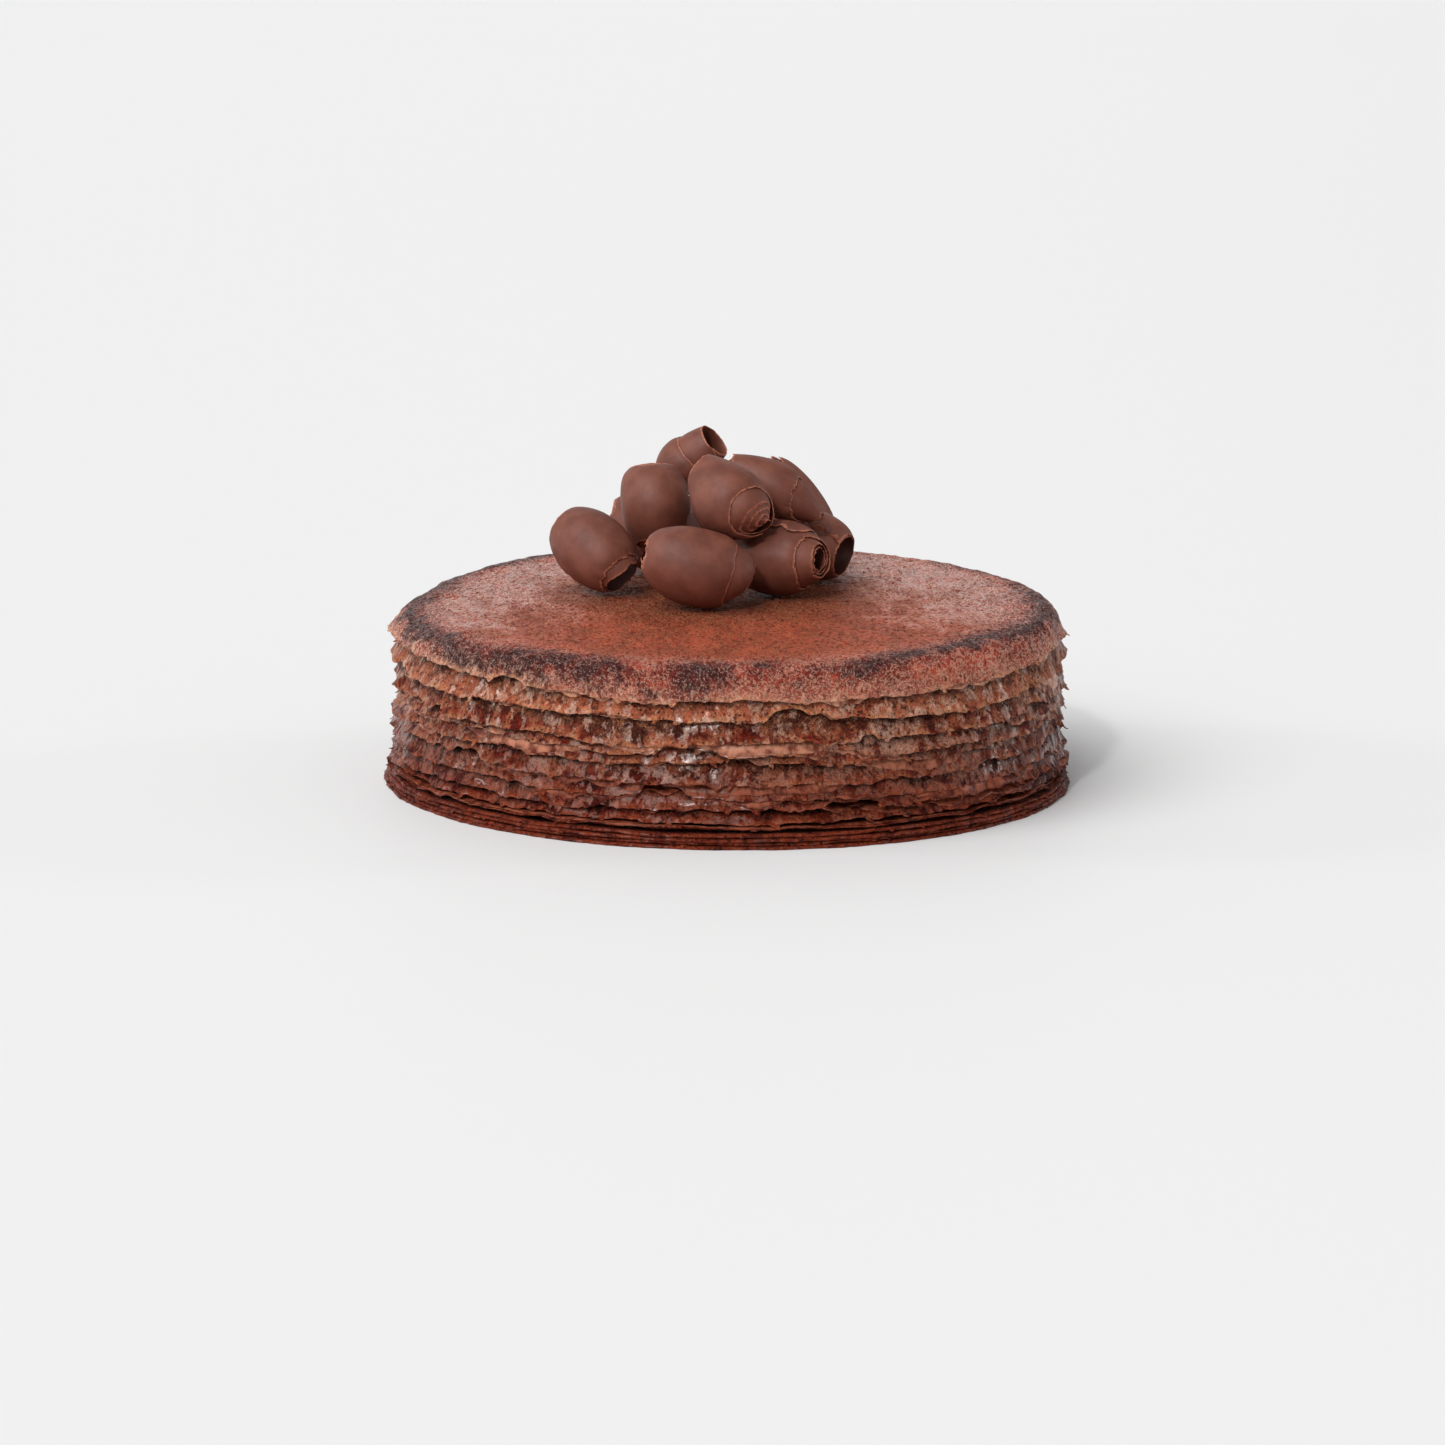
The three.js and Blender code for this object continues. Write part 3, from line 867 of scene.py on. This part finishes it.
def flake(draw, above, hem):
    """One flake: rings across it from its root to its tip, and how near each point is to its edge."""
    column = draw.integers(SIDES)
    down, outward, side = hem_directions(column, above, hem)
    length, width, slant, bend = (draw.uniform(*limits) for limits in FLAKE_SIZES)
    notches = draw.uniform(*FLAKE_NOTCHES, (FLAKE_POINTS, FLAKE_POINTS))
    notches = np.concatenate([notches, notches[:, ::-1]], 1)
    along = np.linspace(-ROOT_SHARE, 1, FLAKE_POINTS)[:, None]
    free = along.clip(0)
    across = np.concatenate([np.linspace(-1, 1, FLAKE_POINTS), np.linspace(1, -1, FLAKE_POINTS)])
    taper = (1 - free) ** 0.7 * notches + FLAKE_TIP
    turned = bend * free
    lift = FLAKE_HALF * np.repeat([1, -1], FLAKE_POINTS)
    go = length * along * np.cos(turned) - lift * np.sin(turned)
    rise = length * along * np.sin(turned) + lift * np.cos(turned) - SUNK
    sideways = width / 2 * across * taper + slant * length * free
    rings = hem[column] + go[..., None] * down + rise[..., None] * outward + sideways[..., None] * side
    far = np.hypot(rings[..., 0], rings[..., 1])
    rings[..., :2] *= np.minimum(1, (WIDEST + oval[column]) / far)[..., None]
    rings[..., 2] += max(0, LOWEST_FLAKE - rings[..., 2].min())
    return rings, 0.3 * (1 - free) * length * (1 - 0.8 * np.abs(across))


print("a flake has", 2 * FLAKE_POINTS ** 2, "points")

# %% Shreds at the hems
SHREDS = 420
SHRED_SEED = 4000


def shred_mesh():
    draw = np.random.default_rng(SHRED_SEED)
    corners, faces, near = [], [], []
    for number in range(SHREDS):
        rings, from_edge = flake(draw, *hems[draw.integers(len(hems))])
        rows, columns, _ = rings.shape
        faces += closed_faces(rows, columns, number * rows * columns)
        corners.append(rings)
        near.append(from_edge)
    marks = skin_marks(np.stack(near), pale=0.6, moist=0.4)
    add_piece("crepe_shreds", np.stack(corners), faces, skirt_paint, marks=marks)


shred_mesh()
print("shreds:", SHREDS)

# %% [markdown]
# ## Cream
# The cream is a disc between two crepes. At the rim it has been squeezed out and pulled down the skirt
# below as a thin film. A fluid simulation could do that, slowly and with little say in the result.
# Here the film follows the relief of the skirt that it lies on, and ends in a torn edge of its own,
# which in some places hangs below the hem above it and shows as a second, finer hem.

# %% Cream finish
def cream_paint():
    bench = Bench("chocolate_cream")
    place = bench.place()
    streaks = bench.noise(bench.stretched(place, (1, 1, 0.35)), 1.6)
    clots = bench.noise(place, 4.5)
    height = bench.part(place, "Z")
    colour = bench.mix((clots + streaks * 0.5).between(0.56, 0.92), hue(120, 58, 40), hue(222, 160, 130))
    # painted shade: the lower the cream, the darker and redder it is
    colour = bench.mix(height.between(44, 14) * 0.9, colour, hue(160, 108, 92), "MULTIPLY")
    return bench.finish({
        "Base Color": colour,
        "Roughness": 0.4 - clots.between(0.4, 0.7) * 0.12,
        "Specular IOR Level": 0.12,
        "Coat Weight": streaks.between(0.45, 0.6) * 0.08,
        "Coat Roughness": 0.2,
        "Subsurface Weight": 0.3,
        "Subsurface Radius": (1.0, 0.4, 0.25),
        "Subsurface Scale": 1.5 * MM,
        "Normal": bench.bump(streaks * 0.5 + clots, 0.4),
    })


cream_finish = cream_paint()
print("finish:", cream_finish.name)

# %% Cream layers
CREAM_CLEARANCE = 0.3
FILM = 0.28
FILM_RINGS = 7
# the least reach of the film in millimetres, and the most as a share of the way to the next hem
LEAST_REACH = 0.5
MOST_REACH = 0.96
SPREAD_NOISE = [(2.6, 30, 0), (0.9, 130, 1), (0.3, 400, 2)]
SPREAD = 0.2
# where most cream has come out: the layer, the direction and half width in degrees, the extra reach
SPILLS = [(2, -94, 24, 5), (4, -58, 16, 3), (5, -84, 15, 2.5), (3, -132, 12, 3), (6, -48, 14, 2.5),
          (1, -20, 10, 3), (3, 60, 22, 4), (5, 140, 20, 3), (2, 190, 14, 3)]


def film_reach(layer):
    """How far down the skirt of the next crepe the cream under a crepe reaches."""
    hidden = np.maximum(HEM_DEPTHS[layer] - PITCH, 0.6)
    spread = layered(turns_round, SPREAD_NOISE, 900 + 10 * layer) + SPREAD
    for direction, half_width, extra in (spill[1:] for spill in SPILLS if spill[0] == layer):
        spread += extra * arch(direction, half_width)
    return np.minimum(hidden + spread, MOST_REACH * HEM_DEPTHS[layer + 1]).clip(LEAST_REACH)


def cream_layer(layer):
    """The disc under one crepe, with its film on the skirt of the crepe below."""
    below = layer + 1
    top = TOP_HEIGHT - PITCH * layer - THICKNESS - CREAM_CLEARANCE
    inner = np.minimum(flat_radius(layer), flat_radius(below)) - THICKNESS
    if layer == 0:
        # the first layer sags with the crepe on it
        upper = [level_ring(SAG_START, top, tilt(0)), level_ring(inner, top - SAG * west, tilt(0))]
    else:
        upper = [level_ring(inner, top, tilt(layer))]
    way = np.append(np.linspace(0, 0.98, FILM_RINGS), 1)[:, None]
    depth = film_reach(layer) * way
    spot = (depth / HEM_DEPTHS[below]) ** (1 / DEPTH_POWER)
    # the last ring lies under the skirt's surface, which leaves the film a thin edge
    lift = relief(below, spot) + FILM * smooth(way, 0, 0.1) - np.where(way == 1, 0.4, 0)
    back = level_ring(flat_radius(below) - 1, TOP_HEIGHT - PITCH * below - 0.45, tilt(below))
    rings = np.concatenate([*upper, on_skirt(below, depth, lift), back])
    name = f"cream_{layer + 1:02d}"
    round_piece(name + "_layer", rings, cream_finish, name)


for layer in range(DRAPED - 1):
    cream_layer(layer)
print("cream layers:", DRAPED - 1)

# %% [markdown]
# ## Chocolate curls
# A curl is shaved off a block in one thin sheet that rolls itself up into a barrel. A lathed barrel
# would be less work, but its ends would look turned. It is made here the way it forms: a long sheet
# is wound from its inner edge to its free outer edge, each wrap lying on the one before. Every edge
# is broken, thin and a little paler, as dry chocolate is.

# %% Chocolate finish
def chocolate_paint():
    bench = Bench("shaved_chocolate")
    place = bench.place()
    edge = bench.attribute("edge")
    bloom = bench.noise(place, 7)
    fine = bench.noise(place, 0.6, roughness=0.6)
    rubbed = bench.noise(place, 2.2, detail=4)
    dust = bench.cells(place, 1.1).between(0.16, 0.06)
    colour = bench.mix(bloom.between(0.3, 0.7), hue(106, 58, 45), hue(126, 73, 58))
    colour = bench.mix(dust * rubbed.between(0.5, 0.62) * 0.5, colour, hue(176, 128, 112))
    broken = edge.between(0.1, 0.7) * (fine + rubbed).between(0.76, 1.1)
    colour = bench.mix(broken * 0.9, colour, hue(188, 116, 90))
    return bench.finish({
        "Base Color": colour,
        "Roughness": 0.48 + rubbed.between(0.4, 0.7) * 0.1,
        "Specular IOR Level": 0.35,
        "Normal": bench.bump(fine * 0.3 + rubbed * 0.15, 0.12),
    })


chocolate = chocolate_paint()
print("finish:", chocolate.name)

# %% Curls, as in the plain model
# Each row: the middle in millimetres, over the top crepe's middle; the heading and the pitch of the
# axis in degrees; half the length; the radius; the taper of the far and the open end; how late that
# starts; how far both ends bend up; how often the sheet is wound; where its free edge lies, in
# degrees; and how far the outer wrap reaches, as a share of half the length.
SHEET = 0.8
ROLL_PITCH = 1.2
CURLS = {
    "curl_left": ((-43, 10, 14.5), -40, -30, 14.6, 11.9, (0.38, 0.32), 2.3, 0, 1.5, 150, 0.95),
    "curl_left_back": ((-25, 44, 14), 170, 18, 16.5, 12.8, (0.5, 0.5), 2.3, 0, 1.5, 60, 0.9),
    "curl_upright": ((-23, 22.1, 28), 107, 70, 13, 11.7, (0.4, 0.3), 2.3, -3.5, 1.5, 60, 0.96),
    "curl_summit": ((-12.6, 44.2, 37.8), -17, 39, 12, 10.2, (0.6, 0.17), 2.3, 0, 2.25, 200, 0.2),
    "curl_front": ((-9.1, -18, 14.1), 2, -14, 18.1, 12.9, (0.5, 0.42), 2.3, 0.9, 1.75, 190, 0.6),
    "curl_centre": ((1.6, -3.8, 32.9), -36, -29, 14.9, 12.3, (0.47, 0.47), 1.7, 2.7, 2.5, 200, 0.4),
    "curl_right_upper": ((16.9, 15, 34), -8, -28, 17.7, 9.2, (0.44, 0.62), 1.7, -1.2, 2.25, 220, 0.3),
    "curl_leaning": ((23.6, 57.2, 19.7), 173, 54, 20.2, 10.7, (0.53, 0.46), 2.3, 0, 1.5, 120, 0.9),
    "curl_right_front": ((17, 2.9, 13.1), -30, 2, 16.8, 12.7, (0.51, 0.43), 2.3, 0, 2.5, 20, 0.62),
    "curl_right_back": ((26.9, 32, 12.8), -28, -13, 14.5, 11.9, (0.4, 0.3), 2.3, 0, 1.25, 40, 1),
    "curl_back": ((-4.3, 65.5, 12.2), 5, 0, 16.5, 11.8, (0.5, 0.5), 2.3, 0, 1.5, 300, 0.6),
}
print("curls are", SHEET, "mm thick sheets")

# %% [markdown]
# No two curls break alike. So a second table says what the plain model leaves out: more wraps inside,
# torn or slanted ends, ends that close, and a free edge that gapes.

# %% How each curl breaks
# core: more wraps inside. tip: where the first inner wrap stops, and step: how far each deeper one
# sticks out beyond it, as shares of half. ragged: how far the open and the far end are torn. slant:
# how much longer one side is, and which side, in degrees round the barrel; skew is the same for the
# short outer wrap alone. shut: how far the far and the open end close. lifted: how far the free edge
# gapes, and swell: how much fatter the barrel is, in millimetres.
PLAIN_BREAK = dict(core=0, tip=1, step=0, ragged=(0.04, 0.04), slant=(0, 0), skew=(0, 0), shut=(0, 0),
                   lifted=0.2, swell=0)
BREAKS = {
    "curl_left": dict(ragged=(0.06, 0.03), slant=(0.13, 60), lifted=0.1, swell=0.4),
    "curl_left_back": dict(ragged=(0.05, 0.04), slant=(-0.12, 270), lifted=0.3, swell=0.3),
    "curl_upright": dict(ragged=(0.02, 0.03), swell=0.4),
    "curl_summit": dict(ragged=(0.02, 0.1), slant=(0.06, 270), skew=(0.12, 90)),
    "curl_front": dict(ragged=(0.03, 0.03), shut=(0.3, 0.25), lifted=0.05, swell=0.2),
    "curl_centre": dict(core=2.25, tip=0.72, step=0.1, ragged=(0.03, 0.03), skew=(0.62, 225),
                        shut=(0, 0.15), lifted=0.15, swell=0.2),
    "curl_right_upper": dict(core=1, step=0.03, ragged=(0.06, 0.05), slant=(-0.05, 180), skew=(0.3, 180)),
    "curl_leaning": dict(ragged=(0.14, 0.1)),
    "curl_right_front": dict(core=1.25, step=-0.02, ragged=(0.05, 0.03), skew=(0.15, 0), lifted=0.3),
    "curl_right_back": dict(ragged=(0.015, 0.03), lifted=0.1, swell=0.3),
}
print("curls with breaks of their own:", len(BREAKS))

# %% Where a sheet lies and ends
STEPS_PER_TURN = 96
STEPS_ACROSS = 24
# the outer wrap is short from so many turns inwards, and fully so at the second
SHORT_WRAP = (1.25, 0.95)
TORN_OPEN = [(1, 34, 0), (0.5, 150, 1), (0.35, 400, 7)]
TORN_FAR = [(1, 40, 2), (0.4, 150, 3)]
FAR_END = 0.98
SHUT_OVER = 0.2


def barrel_directions(heading, pitch):
    """The directions of a barrel: along its axis, up, and to its side."""
    yaw, rise = math.radians(heading), math.radians(pitch)
    axis = Vector((math.cos(rise) * math.cos(yaw), math.cos(rise) * math.sin(yaw), math.sin(rise)))
    up = (Vector((0, 0, 1)) - axis * axis.z).normalized()
    return np.array(axis), np.array(up), np.array(axis.cross(up))


def even_steps():
    """Shares of the way across a sheet, closer together at both ends."""
    swing = np.cos(np.pi * np.linspace(0, 1, STEPS_ACROSS)[None, :])
    return 0.5 - 0.5 * swing * (0.35 + 0.65 * np.abs(swing))


def sheet_ends(how, reach, inwards, short, turned, loop, seed):
    """Where a sheet starts and stops along the barrel: -1 is its far end and 1 its open end."""
    slanted, skewed = (amount * (0.5 + 0.5 * np.cos(turned - math.radians(side)))
                       for amount, side in (how.slant, how.skew))
    full = how.tip + how.step * (inwards - 1).clip(0) + slanted
    torn = layered(loop, TORN_OPEN, seed) * (0.5 + 0.5 * short) - 0.3
    stop = full + (reach + skewed - full) * short + how.ragged[0] * torn
    return how.ragged[1] * layered(loop, TORN_FAR, seed) - FAR_END, stop


def rounding(inside_of_end):
    """0 away from an end and 1 at it, along a quarter of a circle SHUT_OVER long."""
    return 1 - np.sqrt(1 - (1 - inside_of_end / SHUT_OVER).clip(0, 1) ** 2)


print("a sheet is", STEPS_ACROSS, "points wide and", STEPS_PER_TURN, "long for each turn")

# %% Rolled sheets
EDGE_THICKNESS = 0.35
EDGE_WIDTH = 1.6
PRESSED_IN = 4
DENT = 0.12
LIP = 0.2
LIP_WIDTH = 1.2
PALE_EDGE = 0.45
LEAST_CORE = 0.1


def curl_sheet(number, name, at, heading, pitch, half, radius, taper, belly, bend, turns, seam, reach):
    how = SimpleNamespace(**{**PLAIN_BREAK, **BREAKS.get(name, {})})
    seed = 2000 + 10 * number
    turns += how.core
    wound = np.linspace(0, turns, round(turns * STEPS_PER_TURN) + 1)[:, None]
    inwards = turns - wound
    across = even_steps()
    loop = (wound / 4) % 1
    short = 1 - smooth(inwards, SHORT_WRAP[1], SHORT_WRAP[0])
    wavy = smooth(wound, turns - 0.25, turns) * 0.03 * ripple(across, 0, (26, 1), seed + 4)
    turned = math.radians(seam) - 2 * np.pi * (inwards + wavy)
    start, stop = sheet_ends(how, reach, inwards, short, turned, loop, seed)
    along = start + across * (stop - start)

    girth = 2 * np.pi * radius
    to_end = np.minimum(along - start, stop - along) * half
    to_edge = np.minimum(to_end, np.minimum(wound, inwards) * girth)
    thick = SHEET * (EDGE_THICKNESS + (1 - EDGE_THICKNESS) * smooth(to_edge, 0, EDGE_WIDTH))
    inset = ROLL_PITCH * np.where(inwards < 1, inwards ** 1.5, inwards)
    narrowing = np.where(along > 0, taper[1], taper[0]) * np.abs(along) ** belly
    shut = how.shut[0] * rounding(along - start) + how.shut[1] * rounding(stop - along) * (1 - short)
    dents = DENT * ripple(loop, across, (16, 3), seed + 5)
    lip = LIP * (1 - smooth(to_edge, 0, LIP_WIDTH)) * ripple(loop, across, (60, 2), seed + 6)
    outer = (radius + how.swell) * (1 - narrowing) * (1 - shut) - inset + dents + lip
    # the short wrap is pressed on where it ends, down to the gap that it is lifted by
    gap = ROLL_PITCH * (1 + inwards) - inset - thick
    to_short = np.minimum((stop - along) * half, inwards * girth)
    outer = outer - (gap - how.lifted) * short * (1 - smooth(to_short, 0, PRESSED_IN))
    outer = np.maximum(outer, thick + LEAST_CORE)

    axis, up, side = barrel_directions(heading, pitch)
    centre = np.array(at) + [0, 0, TOP_HEIGHT + TILT * at[1]]
    middle = centre + along[..., None] * half * axis + bend * along[..., None] ** 2 * up
    turned_out = np.cos(turned)[..., None] * up + np.sin(turned)[..., None] * side
    outside, inside = (middle + turned_out * distance[..., None] for distance in (outer, outer - thick))
    # a ring runs across the outside from end to end and back across the inside
    rings = np.concatenate([outside, inside[:, ::-1]], 1)
    edge = 1 - smooth(np.concatenate([to_edge, to_edge[:, ::-1]], 1), 0, PALE_EDGE)
    round_piece(name + "_sheet", rings, chocolate, name, {"edge": edge})


for number, (name, shape) in enumerate(CURLS.items()):
    curl_sheet(number, name, *shape)
print("curls:", len(CURLS))

# %% [markdown]
# ## Last, the size
# The dressed cake must stay inside the plain model's box.

# %% Update the scene
bpy.context.view_layer.update()
